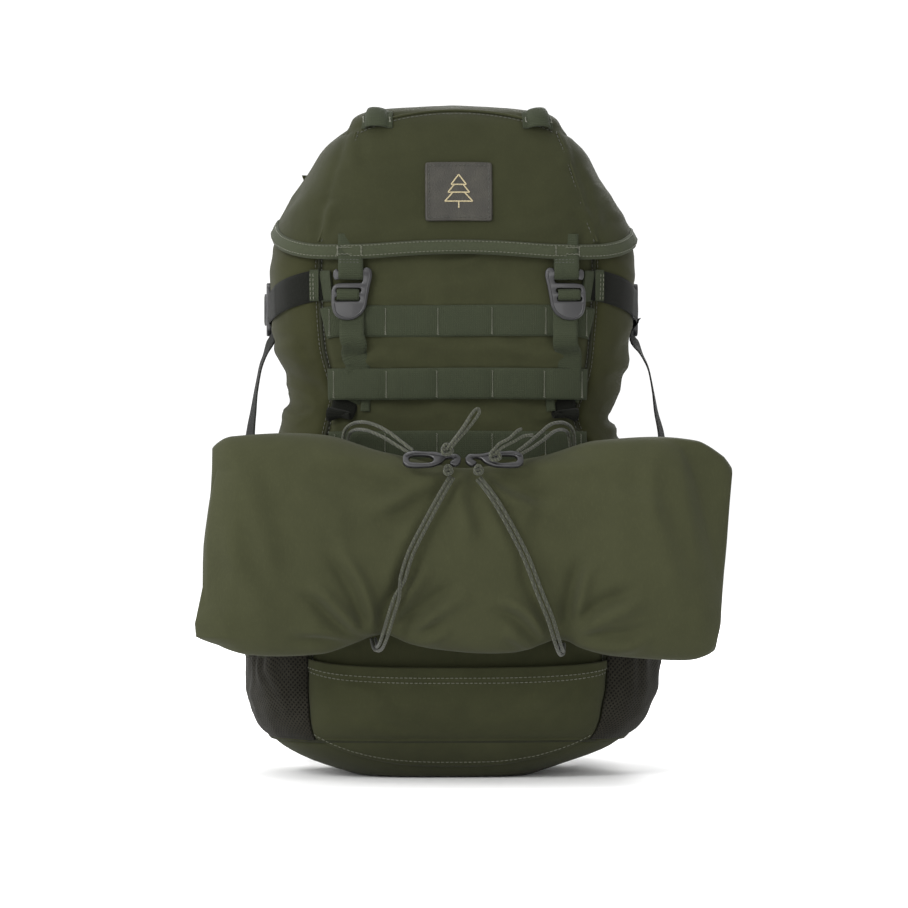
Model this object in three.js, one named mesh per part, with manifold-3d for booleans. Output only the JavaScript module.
// A 35-litre hunting backpack: hooded lid, load webbing, G-hooks, a garment held by elastic cords, and harness.
// Millimetres, +Z up. The decorated front faces -Y and the harness is at +Y, so +X is the wearer's right.
// The origin is the middle of the flat base.
import * as THREE from "three";
import { mergeVertices } from "three/addons/utils/BufferGeometryUtils.js";
import Module from "manifold-3d";

// ---- Driving dimensions ----
const WEB = 25.4; // load webbing width
const HOOK_WEB = 20; // webbing of the lid tabs and hook straps
const WEB_THICK = 1.5;
const ROW_PITCH = 50.8; // from one load webbing row to the next
const TOP_ROW_Z = 371;
const GAP = 0.4; // between touching pieces
const CLOTH = 3; // lined and padded pack cloth
const BASE_TOP = 31; // where the base panel meets the walls
const WALL_TOP = 455; // where the walls meet the collar
const BACK_TOP = 468; // the back panel stands higher, up to the lid's hinge line
const MOUTH_Z = 505;
const SQUARENESS = 3.4; // superellipse power of the plan outline
const SEAM = 0.75; // front seam, as a share of the half width
const HOOK_X = 86; // middle of each G-hook, either side
const HOOK_Z = 371; // lower edge of a G-hook
const LID_TOP = 546;
const LID_MID_Y = -20;
const HINGE_Y = 74; // rear edge of the lid
const HINGE_Z = 491;
const LOOP_X = 68; // small webbing loops on the lid's ridge
const BUCKLE_Z = 381;
const HARNESS_Y = 78;
const LID_HALF = 148; // half the lid's width at its hem
const LID_FRONT_DEPTH = 92; // from LID_MID_Y to the hem in front, and behind
const LID_REAR_DEPTH = 94;
const BADGE_HALF = 26;
const POCKET_BOTTOM = 34;
const FRONT_POCKET_TOP = 96;
const MESH_POCKET_TOP = 108;
const ROLL_BACK = 117.5; // the garment's back lies this far in front of the pack's middle
const ROLL_TUNNEL = 19; // radius of the hollows between its folds
const FRAME_SHEET = [200, 1.5, 360];
const FRAME_STAY = [25, 3, 340];
const FRAME_Z = 245;
const BACK_PAD = { width: 70, thick: 14 };
const LUMBAR_PAD = { width: 190, thick: 20 };
const SHOULDER_THICK = 12;
const CHEST_Z = 330;
const HIP_Z = 58;
const HIP_WING = { height: 44, thick: 12 };
const ELASTIC_RADIUS = 2.6; // a doubled elastic as one round cord
const PLATE_THICK = 4; // buckles and adjusters
const SIDES = [["left", -1], ["right", 1]];

// ---- Colours ----
const OLIVE = 0x41432f;
const OLIVE_SIDE = 0x49482f;
const OLIVE_ROLL = 0x4a4c38;
const WEBBING = 0x465040;
const DARK_WEB = 0x2c2d25;
const MESH = 0x333029;
const BLACK = 0x26242a;
const ALU = 0xa6a8aa;
const LEATHER = 0x45403a;
const CORD = 0x5a5946;

// ---- Profiles ----
// A smooth curve through [position, value] pairs.
function profile(...pairs) {
  const slope = (i) => {
    const a = pairs[Math.max(i - 1, 0)];
    const b = pairs[Math.min(i + 1, pairs.length - 1)];
    return (b[1] - a[1]) / (b[0] - a[0]);
  };
  return (at) => {
    let i = 0;
    while (i < pairs.length - 2 && at > pairs[i + 1][0]) i += 1;
    const [x0, y0] = pairs[i];
    const [x1, y1] = pairs[i + 1];
    const w = x1 - x0;
    const t = Math.min(Math.max((at - x0) / w, 0), 1);
    const rise = t * t * (3 - 2 * t);
    const lead = t * (1 - t) * (1 - t) * w * slope(i);
    const tail = t * t * (t - 1) * w * slope(i + 1);
    return y0 + (y1 - y0) * rise + lead + tail;
  };
}
const bagHalfWidth = profile(
  [0, 48], [10, 74], [20, 107], [31, 131], [45, 146], [60, 154], [75, 157.5], [110, 158.5], [200, 158],
  [260, 147], [285, 137], [305, 130], [325, 138], [350, 145], [400, 148], [430, 146], [442, 140], [455, 131],
);
const bagFront = profile([0, 72], [10, 86], [20, 96], [31, 103], [60, 109], [150, 112], [250, 107], [300, 101],
  [350, 106], [420, 105], [445, 99], [455, 96]);
const bagBack = profile([0, 58], [10, 67], [25, 73], [60, 75], [455, 75]);

const power = (v, p) => Math.sign(v) * Math.abs(v) ** p;

// The bag's skin: turn 0 is the front middle, turn 90 the right side; out is the distance off the skin.
function bag(turn, z, out = 0) {
  const a = THREE.MathUtils.degToRad(turn);
  const e = 2 / SQUARENESS;
  const depth = Math.cos(a) > 0 ? bagFront(z) : bagBack(z);
  return new THREE.Vector3(
    (bagHalfWidth(z) + out) * power(Math.sin(a), e),
    -(depth + out) * power(Math.cos(a), e),
    z,
  );
}
// The turn at which the skin is x to the side of the middle, at height z, on the front.
function turnAt(x, z) {
  return THREE.MathUtils.radToDeg(Math.asin(power(x / bagHalfWidth(z), SQUARENESS / 2)));
}

// The lid's skin: up runs from 0 at the hem to 1 at the crown.
const hemHeight = profile([0, 426], [20, 422], [50, 424], [90, 440], [117, 460], [135, 475], [153, 485],
  [180, HINGE_Z]);
const lidSide = profile([0, 1], [0.2, 0.92], [0.45, 0.8], [0.67, 0.705], [0.83, 0.57], [0.94, 0.4], [1, 0]);
const lidFront = profile([0, 1], [0.3, 0.985], [0.6, 0.93], [0.8, 0.86], [0.9, 0.77], [0.96, 0.55], [1, 0]);
const lidRear = profile([0, 1], [0.3, 0.9], [0.6, 0.74], [0.85, 0.5], [1, 0]);
function lid(turn, up, out = 0) {
  const a = THREE.MathUtils.degToRad(turn);
  const e = 2 / SQUARENESS;
  const hem = hemHeight(Math.abs(turn));
  const side = Math.sin(a) ** 2;
  const along = Math.cos(a) > 0 ? lidFront(up) : lidRear(up);
  const reach = lidSide(up) * side + along * (1 - side);
  const half = LID_HALF * reach + out;
  const depth = (Math.cos(a) > 0 ? LID_FRONT_DEPTH : LID_REAR_DEPTH) * reach + out;
  const lift = up > 0.7 ? (out * (up - 0.7)) / 0.3 : 0;
  return new THREE.Vector3(
    half * power(Math.sin(a), e),
    LID_MID_Y - depth * power(Math.cos(a), e),
    hem + (LID_TOP - CLOTH - hem) * up + lift + CLOTH * up,
  );
}
// The lid's skin by its place across the front.
const lidFace = (x, up, out) => lid(lidTurnAt(x, up), up, out);
function lidTurnAt(x, up) {
  return THREE.MathUtils.radToDeg(Math.asin(power(x / (LID_HALF * lidFront(up)), SQUARENESS / 2)));
}

// The folded garment: its outline across the pack, and its section as a superellipse.
const rollTop = profile([-212, 262], [-190, 277], [-110, 279], [-62, 266], [0, 257], [62, 262], [110, 275],
  [190, 275], [214, 255]);
const rollBottom = profile([-212, 112], [-180, 105], [-110, 105], [-62, 118], [-20, 108], [40, 106], [78, 114],
  [120, 104], [185, 100], [214, 104]);
const rollFront = profile([-212, 168], [-185, 184], [-120, 190], [-62, 184], [0, 186], [78, 182], [130, 190],
  [190, 184], [214, 166]);

// ---- Solids ----
function indexed(points, triangles) {
  const g = new THREE.BufferGeometry();
  g.setAttribute("position", new THREE.Float32BufferAttribute(points.flatMap((p) => [p.x, p.y, p.z]), 3));
  g.setIndex(triangles.flat());
  const merged = mergeVertices(g, 1e-3);
  const kept = [];
  for (let i = 0; i < merged.index.count; i += 3) {
    const [a, b, c] = [0, 1, 2].map((k) => merged.index.getX(i + k));
    if (a !== b && b !== c && a !== c) kept.push(a, b, c);
  }
  merged.setIndex(kept);
  merged.computeVertexNormals();
  return merged;
}

// The quads between rings of points, each ring closed.
function rows(rings) {
  const n = rings[0].length;
  const triangles = [];
  for (let r = 0; r + 1 < rings.length; r += 1)
    for (let k = 0; k < n; k += 1) {
      const [a, b] = [r * n + k, r * n + ((k + 1) % n)];
      triangles.push([a, b, b + n], [a, b + n, a + n]);
    }
  return triangles;
}

// A closed solid from rings of points, with a fan of triangles over each end.
function loft(rings) {
  const n = rings[0].length;
  const points = rings.flat();
  const triangles = rows(rings);
  for (const [ring, flip] of [[0, true], [rings.length - 1, false]]) {
    const middle = rings[ring].reduce((s, p) => s.add(p), new THREE.Vector3()).divideScalar(n);
    points.push(middle);
    for (let k = 0; k < n; k += 1) {
      const [a, b] = [ring * n + k, ring * n + ((k + 1) % n)];
      triangles.push(flip ? [b, a, points.length - 1] : [a, b, points.length - 1]);
    }
  }
  return indexed(points, triangles);
}

// Every piece on a skin shares its knots, so that facets of neighbours lie parallel.
const TURN_STEP = 11.25;
const WALL_KNOTS = [45, 60, 85, 150, 210, 255, 285, 305, 320, 335, 350, 400, 430, 444];
function knots(from, to, all) {
  const [low, high] = [Math.min(from, to), Math.max(from, to)];
  const inside = all.filter((v) => v > low + 1e-6 && v < high - 1e-6);
  return from < to ? [from, ...inside, to] : [from, ...inside.reverse(), to];
}
const TURN_KNOTS = Array.from({ length: 65 }, (_, i) => (i - 32) * TURN_STEP);
const turnsFrom = (from, to) => knots(from, to, TURN_KNOTS);
const heights = (from, to) => knots(from, to, WALL_KNOTS);

const steps = (from, to, count) =>
  Array.from({ length: count + 1 }, (_, i) => from + ((to - from) * i) / count);

// A sheet with thickness: outside and inside grids of the same skin, joined round their edges.
function patch(skin, us, vs, low, high) {
  const rings = us.map((u) => {
    const outer = vs.map((v) => skin(u, v, typeof high === "function" ? high(u, v) : high));
    const inner = vs.map((v) => skin(u, v, typeof low === "function" ? low(u, v) : low)).reverse();
    return [...outer, ...inner];
  });
  const triangles = rows(rings);
  const n = vs.length * 2;
  const last = (us.length - 1) * n;
  for (let k = 0; k + 1 < vs.length; k += 1) {
    const [a, b, c, d] = [k, k + 1, n - 2 - k, n - 1 - k];
    triangles.push([a, c, b], [a, d, c], [last + a, last + b, last + c], [last + a, last + c, last + d]);
  }
  return facingOut(indexed(rings.flat(), triangles));
}

// The same, going all the way round.
function band(skin, count, vs, low, high) {
  const turns = steps(-180, 180, count).slice(0, -1);
  const section = (u) => [
    ...vs.map((v) => skin(u, v, high)),
    ...[...vs].reverse().map((v) => skin(u, v, low)),
  ];
  const points = turns.flatMap(section);
  const m = vs.length * 2;
  const triangles = [];
  for (let r = 0; r < turns.length; r += 1)
    for (let k = 0; k < m; k += 1) {
      const s = (r + 1) % turns.length;
      const [a, b, c, d] = [r * m + k, r * m + ((k + 1) % m), s * m + ((k + 1) % m), s * m + k];
      triangles.push([a, b, c], [a, c, d]);
    }
  return facingOut(indexed(points, triangles));
}

function volume(g) {
  const [p, index] = [g.attributes.position, g.index];
  const [a, b, c] = [new THREE.Vector3(), new THREE.Vector3(), new THREE.Vector3()];
  let sum = 0;
  for (let i = 0; i < index.count; i += 3) {
    a.fromBufferAttribute(p, index.getX(i));
    b.fromBufferAttribute(p, index.getX(i + 1));
    c.fromBufferAttribute(p, index.getX(i + 2));
    sum += a.dot(b.cross(c)) / 6;
  }
  return sum;
}
function facingOut(g) {
  if (volume(g) > 0) return g;
  const turned = [];
  for (let i = 0; i < g.index.count; i += 3)
    turned.push(g.index.getX(i), g.index.getX(i + 2), g.index.getX(i + 1));
  g.setIndex(turned);
  return g;
}

const vec = (p) => new THREE.Vector3(...p);

// Flat webbing that follows points, its width along one direction.
function ribbon(points, across, width, thick, count = 0) {
  const curve = new THREE.CatmullRomCurve3(points.map(vec));
  const n = count || points.length * 2;
  const rings = steps(0, 1, n).map((t) => {
    const p = curve.getPoint(t);
    const w = vec(across).normalize();
    const side = curve.getTangent(t).cross(w).normalize().multiplyScalar(thick / 2);
    w.multiplyScalar(width / 2);
    return [[1, 1], [-1, 1], [-1, -1], [1, -1]].map(([i, j]) =>
      p.clone().addScaledVector(w, i).addScaledVector(side, j));
  });
  return facingOut(loft(rings));
}

// A round cord along points.
function cord(points, radius, count) {
  const section = new THREE.Shape();
  section.absarc(0, 0, radius, 0, 2 * Math.PI, false);
  const g = new THREE.ExtrudeGeometry(section, {
    steps: count,
    curveSegments: 4,
    extrudePath: new THREE.CatmullRomCurve3(points.map(vec)),
  });
  return bare(g);
}
function bare(g) {
  g.deleteAttribute("normal");
  g.deleteAttribute("uv");
  return facingOut(mergeVertices(g, 1e-3));
}

// A soft pad: a rounded block swept along points, its width along x.
function pad(points, widths, thick, count) {
  const curve = new THREE.CatmullRomCurve3(points.map(vec));
  const sides = 12;
  const rings = steps(0, 1, count).map((t) => {
    const p = curve.getPoint(t);
    const normal = new THREE.Vector3(1, 0, 0).cross(curve.getTangent(t)).normalize();
    const end = Math.min(1, Math.sqrt(Math.min(t, 1 - t) * 12 + 0.3));
    return steps(0, 360, sides).slice(0, -1).map((d) => {
      const a = THREE.MathUtils.degToRad(d);
      const q = p.clone().addScaledVector(normal, (thick / 2) * end * power(Math.sin(a), 0.7));
      q.x += (widths(t) / 2) * end * power(Math.cos(a), 0.5);
      return q;
    });
  });
  return facingOut(loft(rings));
}

// A flat plate from an outline of [x, y] points, with holes, thick along its own z.
function plate(outline, holes, thick) {
  const corners = outline.map(([x, y]) => new THREE.Vector2(x, y));
  if (THREE.ShapeUtils.isClockWise(corners)) corners.reverse();
  const shape = new THREE.Shape(corners);
  shape.holes = holes.map((h) => new THREE.Path(h.map(([x, y]) => new THREE.Vector2(x, y))));
  const g = new THREE.ExtrudeGeometry(shape, { depth: thick, bevelEnabled: false });
  g.translate(0, 0, -thick / 2);
  return bare(g);
}
const slot = (x0, y0, x1, y1) => [[x0, y0], [x0, y1], [x1, y1], [x1, y0]];

const wasm = await Module();
wasm.setup();
function solid(g) {
  return new wasm.Manifold(new wasm.Mesh({
    numProp: 3,
    vertProperties: new Float32Array(g.attributes.position.array),
    triVerts: new Uint32Array(g.index.array),
  }));
}
function geometryOf(s) {
  const m = s.getMesh();
  return new THREE.BufferGeometry()
    .setAttribute("position", new THREE.BufferAttribute(new Float32Array(m.vertProperties), 3))
    .setIndex(new THREE.BufferAttribute(new Uint32Array(m.triVerts), 1));
}
const join = (...gs) => geometryOf(gs.map(solid).reduce((a, b) => a.add(b)));
const cut = (g, ...tools) => geometryOf(tools.map(solid).reduce((a, b) => a.subtract(b), solid(g)));
function block(w, d, h, x, y, z) {
  return bare(new THREE.BoxGeometry(w, d, h).translate(x, y, z));
}

const pack = new THREE.Group();
function add(name, geometry, color, roughness = 0.9, metalness = 0) {
  geometry.computeVertexNormals();
  const mesh = new THREE.Mesh(geometry, new THREE.MeshStandardMaterial({ color, roughness, metalness }));
  mesh.name = name;
  pack.add(mesh);
  return mesh;
}

// ---- The bag ----
const FRONT_TURN = turnAt(SEAM * bagHalfWidth(200), 200);
const BACK_TURN = 180 - 50;
const SEAM_GAP = 0.35; // half the turn between neighbouring panels

function bagPanels() {
  const inset = FRONT_TURN - SEAM_GAP;
  const wall = heights(BASE_TOP + GAP, WALL_TOP);
  add("front_panel", patch(bag, turnsFrom(-inset, inset), wall, -CLOTH, 0), OLIVE);
  for (const [name, s] of SIDES) {
    const turns = turnsFrom(s * (FRONT_TURN + SEAM_GAP), s * (BACK_TURN - SEAM_GAP));
    add("side_panel_" + name, patch(bag, turns, wall, -CLOTH, 0), OLIVE_SIDE);
  }
  const rear = turnsFrom(BACK_TURN + SEAM_GAP, 360 - BACK_TURN - SEAM_GAP);
  add("back_panel", patch(bag, rear, [...wall, BACK_TOP], -CLOTH, 0), OLIVE);
}

// A bowl: flat under the pack and curving up to meet the walls.
function basePanel() {
  const turns = turnsFrom(-180, 180).slice(0, -1);
  const rising = [0, 10, 20, BASE_TOP];
  const outer = rising.map((z) => turns.map((t) => bag(t, z)));
  const inner = rising.slice(1).reverse().map((z) => turns.map((t) => bag(t, z, -CLOTH - 0.5)));
  const floor = turns.map((t) => bag(t, 8, -CLOTH).setZ(CLOTH));
  add("base_panel", facingOut(loft([...outer, ...inner, floor])), OLIVE);
}

function collar() {
  const half = profile([0, 118], [0.4, 90], [1, 62]);
  const front = profile([0, 86], [0.4, 66], [1, 44]);
  const back = profile([0, 66], [0.4, 56], [1, 40]);
  const skin = (turn, up, out) => {
    const a = THREE.MathUtils.degToRad(turn);
    const depth = (Math.cos(a) > 0 ? front(up) : back(up)) + out;
    const x = (half(up) + out) * power(Math.sin(a), 0.7);
    return new THREE.Vector3(x, -depth * power(Math.cos(a), 0.7), WALL_TOP + GAP + (MOUTH_Z - WALL_TOP) * up);
  };
  add("collar", band(skin, 24, [0, 0.4, 1], -2, 0), OLIVE);
}

// Inside the back: a plastic sheet and two aluminium bars.
function frame() {
  add("frame_sheet", block(...FRAME_SHEET, 0, 59.5, FRAME_Z), BLACK, 0.5);
  for (const [name, s] of SIDES)
    add("frame_stay_" + name, block(...FRAME_STAY, s * 45, 56.5, FRAME_Z), ALU, 0.35, 1);
}

function backPads() {
  for (const [name, s] of SIDES) {
    const line = [[s * 55, 84, 190], [s * 55, 84.5, 280], [s * 52, 84, 350]];
    add("back_pad_" + name, pad(line, () => BACK_PAD.width, BACK_PAD.thick, 8), MESH);
  }
  const low = [[0, 87, 30], [0, 90, 85], [0, 87, 145]];
  add("lumbar_pad", pad(low, () => LUMBAR_PAD.width, LUMBAR_PAD.thick, 8), MESH);
}

// ---- Load webbing and pockets ----
function loadWebbing() {
  const offsets = [[0.6, 2.1], [3.8, 5.3], [0.6, 2.1]];
  offsets.forEach(([low, high], i) => {
    const z = TOP_ROW_Z - i * ROW_PITCH;
    const end = FRONT_TURN - 1;
    const zs = heights(z - WEB / 2, z + WEB / 2);
    add("pals_row_" + (i + 1), patch(bag, turnsFrom(-end, end), zs, low, high), WEBBING);
  });
}

const POCKET_EDGE = 3; // how far a pocket's sewn edge stands off the skin
// A pocket that stands off the skin in the middle and meets it round three edges.
function pocket(from, to, zs, bulge) {
  const middle = (from + to) / 2;
  const span = Math.abs(to - from) / 2;
  const [bottom, top] = [zs[0], zs[zs.length - 1]];
  const stand = (turn, z) => {
    const across = 1 - Math.abs((turn - middle) / span) ** 6;
    const up = Math.min(1, (z - bottom) / (0.45 * (top - bottom)));
    return POCKET_EDGE + bulge * across * Math.sqrt(up);
  };
  return patch(bag, turnsFrom(from, to), zs, stand, (t, z) => stand(t, z) + 2);
}

function pockets() {
  const edge = FRONT_TURN - 1;
  add("front_pocket", pocket(-edge, edge, heights(POCKET_BOTTOM, FRONT_POCKET_TOP), 11), OLIVE);
  for (const [name, s] of SIDES) {
    const zs = heights(POCKET_BOTTOM, MESH_POCKET_TOP);
    add("mesh_pocket_" + name, pocket(s * (FRONT_TURN + 2), s * 111, zs, 10), MESH);
  }
}

// ---- Straps on the outside ----
function compressionStraps() {
  for (const [name, s] of SIDES) {
    const turns = turnsFrom(s * (FRONT_TURN - 2), s * 78);
    const zs = (z) => steps(z - WEB / 2, z + WEB / 2, 2);
    const skin = (turn, v, out) => {
      const slope = ((Math.abs(turn) - FRONT_TURN) / (78 - FRONT_TURN)) * 12;
      return bag(turn, v - slope, out).setZ(v - slope);
    };
    add("compression_strap_" + name, patch(skin, turns, zs(399), 1.5, 3), DARK_WEB);
    const tail = [[s * 151, -4, 356], [s * 154, -6, 335], [s * 161, -8, 305], [s * 166, -8, 270],
      [s * 168, -8, 215]];
    add("strap_tail_" + name, ribbon(tail, [0, 1, 0.1], 24, WEB_THICK, 8), DARK_WEB);
  }
}

// Webbing from a G-hook, over the top load row and behind the next one.
function hookStraps() {
  const out = profile([290, 0.9], [334, 0.9], [356, 3.4], [378, 3.4]);
  for (const [name, s] of SIDES) {
    const xs = steps(HOOK_X - HOOK_WEB / 2, HOOK_X + HOOK_WEB / 2, 2);
    const skin = (x, z, extra) => bag(turnAt(s * x, z), z, out(z) + extra);
    add("hook_strap_" + name, patch(skin, xs, heights(294, 378), 0, WEB_THICK), WEBBING);
  }
}

// ---- The folded garment and its elastic cords ----
function roll() {
  const section = (x, shrink) => {
    const [top, bottom] = [rollTop(x), rollBottom(x)];
    const [h, d] = [((top - bottom) / 2) * shrink, ((rollFront(x) - ROLL_BACK) / 2) * shrink];
    const [y, z] = [-(rollFront(x) + ROLL_BACK) / 2, (top + bottom) / 2];
    return steps(0, 360, 20).slice(0, -1).map((deg) => {
      const a = THREE.MathUtils.degToRad(deg);
      return new THREE.Vector3(x, y + d * power(Math.cos(a), 0.65), z + h * power(Math.sin(a), 0.65));
    });
  };
  const xs = [-205, -185, -150, -110, -85, -62, -30, 0, 30, 62, 78, 100, 130, 165, 190, 208];
  const rings = [section(-212, 0.8), ...xs.map((x) => section(x, 1)), section(214, 0.8)];
  const body = facingOut(loft(rings));
  const fold = (z) => {
    const tunnel = new THREE.CylinderGeometry(ROLL_TUNNEL, ROLL_TUNNEL, 500, 10);
    return bare(tunnel.rotateZ(Math.PI / 2).translate(1, -153, z));
  };
  add("roll", cut(body, fold(145), fold(190), fold(232)), OLIVE_ROLL);
}

// Each run is a doubled elastic, here one plain cord, from its anchor loop to a cord hook.
const CORD_ROUTES = {
  elastic_cord_upper_left: [[-92, -112.5, 268], [-90, -115, 281], [-84, -124, 286], [-74, -140, 286],
    [-62, -154, 281], [-50, -166, 273], [-40, -175, 266]],
  elastic_cord_upper_right: [[92, -112.5, 268], [90, -115, 281], [84, -124, 286], [74, -140, 285],
    [64, -154, 278], [54, -165, 271], [44, -174, 265]],
  elastic_cord_lower_left: [[-9, -188, 247], [-18, -192, 232], [-30, -193, 210], [-42, -193, 186],
    [-50, -192, 160], [-57, -190, 138], [-62, -182, 120], [-65, -166, 111], [-67, -148, 109],
    [-68, -130, 110], [-69, -118, 115]],
  elastic_cord_lower_right: [[12, -188, 246], [24, -192, 230], [38, -193, 206], [50, -193, 182],
    [60, -192, 156], [69, -190, 134], [75, -180, 116], [79, -164, 107], [81, -146, 105],
    [82, -130, 106], [83, -118, 111]],
};
function elastics() {
  for (const [name, route] of Object.entries(CORD_ROUTES))
    add(name, cord(route, ELASTIC_RADIUS, route.length * 2), CORD);
}

// A moulded cord hook: a body with a slot for the knot and an open hook at its end.
function cordHooks() {
  const outline = [[-22, 5], [-10, 8], [6, 7], [14, 4], [22, 5], [23, -4], [17, -6], [14, -1], [6, -6], [-12, -7],
    [-22, -4]];
  for (const [name, s] of SIDES) {
    const g = plate(outline, [slot(-12, -3, 0, 3)], 5);
    const m = add("cord_hook_" + name, g, BLACK, 0.4);
    m.rotation.set(Math.PI / 2 - 0.75, 0, 0);
    m.scale.set(-s, 1, 1);
    m.position.set(s * 24.5 + 1, -186, 260);
  }
}

// ---- Hooks, buckles and sliders ----
// A G-hook lies flat: a ladder for the strap below, and an open arm that holds the lid's webbing.
function gHooks() {
  const outline = [[-16.5, 43], [-16.5, 36.5], [9, 36.5], [9, 30.5], [-16.5, 30.5], [-16.5, 0], [16.5, 0],
    [16.5, 43]];
  const slots = [slot(-11.5, 4, 11.5, 9), slot(-11.5, 14, 11.5, 24)];
  for (const [name, s] of SIDES) {
    const m = add("g_hook_" + name, plate(outline, slots, 3.6), BLACK, 0.4);
    m.rotation.set(Math.PI / 2, 0, 0);
    m.scale.set(-s, 1, 1);
    m.position.set(s * HOOK_X, -110.3, HOOK_Z);
  }
}

function sideBuckles() {
  const outline = [[-16, -22], [16, -22], [16, 22], [-16, 22]];
  const slots = [slot(-12, -14, -7, 14), slot(-3, -14.5, 3, 14.5), slot(7, -15, 12, 15)];
  for (const [name, s] of SIDES) {
    const m = add("side_buckle_" + name, plate(outline, slots, PLATE_THICK), BLACK, 0.4);
    m.rotation.set(Math.PI / 2, Math.PI / 2, 0);
    m.position.set(s * 151.6, 12, BUCKLE_Z);
  }
}

const ZIP_TURN = 122;
const ZIP_REST_Z = 82;
function sideZip() {
  const zs = [56, 62, 70, 80, 110, 160, 214];
  add("side_zip", patch(bag, steps(ZIP_TURN - 5, ZIP_TURN + 5, 3), zs, 1.2, 2.6), BLACK, 0.6);
  const at = bag(ZIP_TURN, 150, 5.2);
  const loop = plate([[4, -1], [19, 3], [22, -12]], [[[9.5, -2], [16.5, -0.2], [17.8, -6.2]]], 2);
  const m = add("side_zip_slider", join(plate(slot(-5, -8, 5, 6), [], 4), loop), BLACK, 0.45);
  m.rotation.set(Math.PI / 2, 0, 0);
  m.position.set(at.x + 2, at.y + 8, ZIP_REST_Z);
}

// ---- The lid ----
function lidParts() {
  const ups = [0, 0.12, 0.3, 0.5, 0.67, 0.8, 0.9, 0.96];
  const turns = turnsFrom(-180, 180).slice(0, -1);
  const rings = ups.map((up) => turns.map((t) => lid(t, up)));
  const inner = [...ups].reverse().map((up) => turns.map((t) => {
    const p = lid(t, up, -CLOTH);
    p.z -= up > 0.5 ? ((up - 0.5) / 0.5) * CLOTH : 0;
    return p;
  }));
  const crown = turns.map((t) => lid(t, 0.99));
  add("lid_hood", hood([...rings, crown], inner), OLIVE);
  add("lid_binding", patch(lid, turnsFrom(-101.25, 101.25), [0, 0.12], 0.6, 2.1), WEBBING);
  const badge = patch(lidFace, steps(-BADGE_HALF, BADGE_HALF, 4), steps(0.21, 0.59, 4), 0.6, 2.6);
  add("lid_badge", badge, LEATHER, 0.7);
}

// One closed shell: outside rows from the hem to the crown, then inside rows back down to the hem.
function hood(outside, inside) {
  const n = outside[0].length;
  const rings = [...outside, ...inside];
  const points = rings.flat();
  const triangles = [];
  const strip = (a0, b0) => {
    for (let k = 0; k < n; k += 1) {
      const [a, b, c, d] = [a0 + k, a0 + ((k + 1) % n), b0 + ((k + 1) % n), b0 + k];
      triangles.push([a, b, c], [a, c, d]);
    }
  };
  rings.forEach((ring, r) => {
    if (r !== outside.length - 1) strip(r * n, ((r + 1) % rings.length) * n);
  });
  const cap = (ring, flip) => {
    const middle = rings[ring].reduce((sum, p) => sum.add(p), new THREE.Vector3()).divideScalar(n);
    points.push(middle);
    for (let k = 0; k < n; k += 1) {
      const [a, b] = [ring * n + k, ring * n + ((k + 1) % n)];
      triangles.push(flip ? [b, a, points.length - 1] : [a, b, points.length - 1]);
    }
  };
  cap(outside.length - 1, false);
  cap(outside.length, true);
  return facingOut(indexed(points, triangles));
}

function lidWebbing() {
  for (const [name, s] of SIDES) {
    const line = [[s * HOOK_X, -113.4, 433], [s * HOOK_X, -113.6, 420], [s * HOOK_X, -113.6, 403]];
    add("lid_tab_" + name, ribbon(line, [1, 0, 0], HOOK_WEB, WEB_THICK, 6), WEBBING);
    // Sewn down at both ends and standing off in the middle.
    const stand = (x) => 1.2 + 9 * Math.sqrt(Math.max(0, 1 - (Math.abs(x - s * LOOP_X) / 11) ** 2));
    const xs = steps(s * LOOP_X - 14, s * LOOP_X + 14, 8);
    const loop = patch(lidFace, xs, steps(0.82, 0.93, 2), stand, (x, up) => stand(x, up) + WEB_THICK);
    add("lid_loop_" + name, loop, WEBBING);
  }
}

function lidZip() {
  const skin = (x, up, out) => lid(180 - lidTurnAt(x, up), up, out);
  add("lid_zip_tape", patch(skin, steps(-85, 85, 8), [0.32, 0.4, 0.48], 0.4, 1.6), BLACK, 0.6);
  const at = skin(0, 0.4, 4.4);
  const m = add("lid_zip_slider", plate(slot(-5, -9, 5, 9), [slot(-2, -6, 2, -1)], 3), BLACK, 0.45);
  m.rotation.set(-0.83, 0, 0);
  m.position.set(-70, at.y, at.z);
  add("lid_pocket", block(150, 90, 2, 0, -22, 520), MESH);
}

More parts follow.
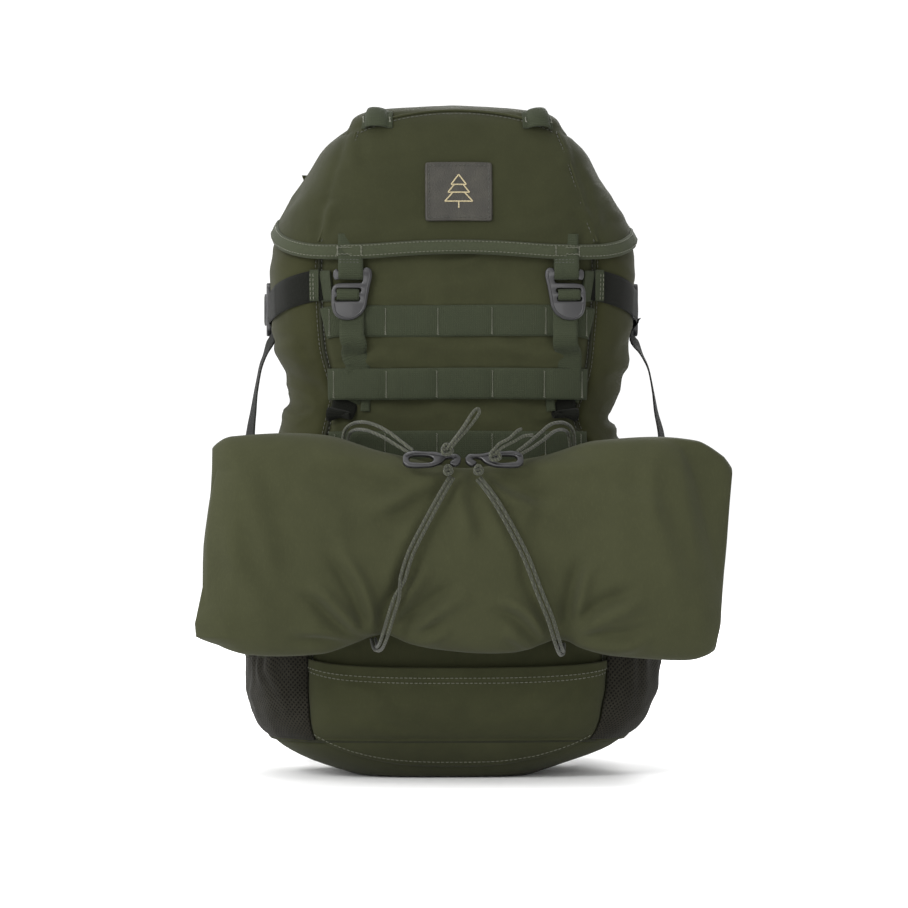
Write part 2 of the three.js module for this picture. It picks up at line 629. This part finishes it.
// ---- Harness ----
const strapLine = (s) => [[s * 44, HARNESS_Y + 8, 430], [s * 48, HARNESS_Y + 34, 436], [s * 56, HARNESS_Y + 60, 410],
  [s * 68, HARNESS_Y + 72, 350], [s * 86, HARNESS_Y + 70, 280], [s * 103, HARNESS_Y + 56, 215],
  [s * 112, HARNESS_Y + 40, 170]];
function harness() {
  const width = profile([0, 50], [0.3, 62], [0.7, 60], [1, 36]);
  for (const [name, s] of SIDES) {
    add("shoulder_strap_" + name, pad(strapLine(s), width, SHOULDER_THICK, 16), MESH);
    const outline = [[-17, -13], [17, -13], [17, 13], [-17, 13]];
    const slots = [slot(-13, -8, 13, -3), slot(-13, 1, 13, 8)];
    const m = add("strap_adjuster_" + name, plate(outline, slots, PLATE_THICK), BLACK, 0.4);
    m.rotation.set(Math.PI / 2 - 0.35, 0, 0);
    m.position.set(s * 113.5, HARNESS_Y + 34, 150);
    const line = [[s * 114, HARNESS_Y + 29, 134], [s * 117, HARNESS_Y + 17, 113], [s * 120, HARNESS_Y + 3, 94],
      [s * 122, HARNESS_Y - 7, 82]];
    add("lower_webbing_" + name, ribbon(line, [1, 0, 0], WEB, WEB_THICK, 8), WEBBING);
  }
  const haul = [[-32, HARNESS_Y + 2, 462], [-27, HARNESS_Y + 15, 462], [0, HARNESS_Y + 24, 462],
    [27, HARNESS_Y + 15, 462], [32, HARNESS_Y + 2, 462]];
  add("haul_loop", ribbon(haul, [0, 0, 1], 20, 2.5, 14), WEBBING);
}

// The chest strap lies on the front of the shoulder straps; its two halves pull apart along x.
function chestStrap() {
  const [y, z] = [HARNESS_Y + 81.5, CHEST_Z];
  const female = join(block(62, 2, 18, -46, y, z), block(24, 9, 24, -8, y, z));
  add("chest_buckle_socket", cut(female, block(18, 5, 17, 2, y, z)), BLACK, 0.45);
  const male = join(block(13, 3, 14, 0, y, z), block(8, 9, 24, 9, y, z), block(66, 2, 18, 44, y, z));
  add("chest_buckle_plug", male, BLACK, 0.45);
}

// Hip wings curve towards the wearer, with the buckle halves on their webbing.
function hipBelt() {
  const z = HIP_Z;
  for (const [name, s] of SIDES) {
    const line = [[s * 104, 90, z], [s * 126, 101, z], [s * 137, 126, z], [s * 132, 155, z], [s * 112, 178, z]];
    const wing = ribbon(line, [0, 0, 1], HIP_WING.height, HIP_WING.thick, 10);
    const end = [[s * 114, 176, z], [s * 96, 190, z], [s * 66, 200, z], [s * 26, 204, z]];
    add("hip_wing_" + name, join(wing, ribbon(end, [0, 0, 1], 38, 2, 8)), MESH);
  }
  const socket = cut(block(34, 12, 44, -8.2, 204, z), block(26, 8, 34, -1, 204, z));
  add("hip_buckle_socket", socket, BLACK, 0.4);
  add("hip_buckle_plug", join(block(24, 3.5, 28, 0, 204, z), block(14, 11, 44, 17.5, 204, z)), BLACK, 0.4);
}

bagPanels();
basePanel();
collar();
frame();
backPads();
loadWebbing();
pockets();
compressionStraps();
hookStraps();
roll();
elastics();
cordHooks();
gHooks();
sideBuckles();
sideZip();
lidParts();
lidWebbing();
lidZip();
harness();
chestStrap();
hipBelt();

export default pack;
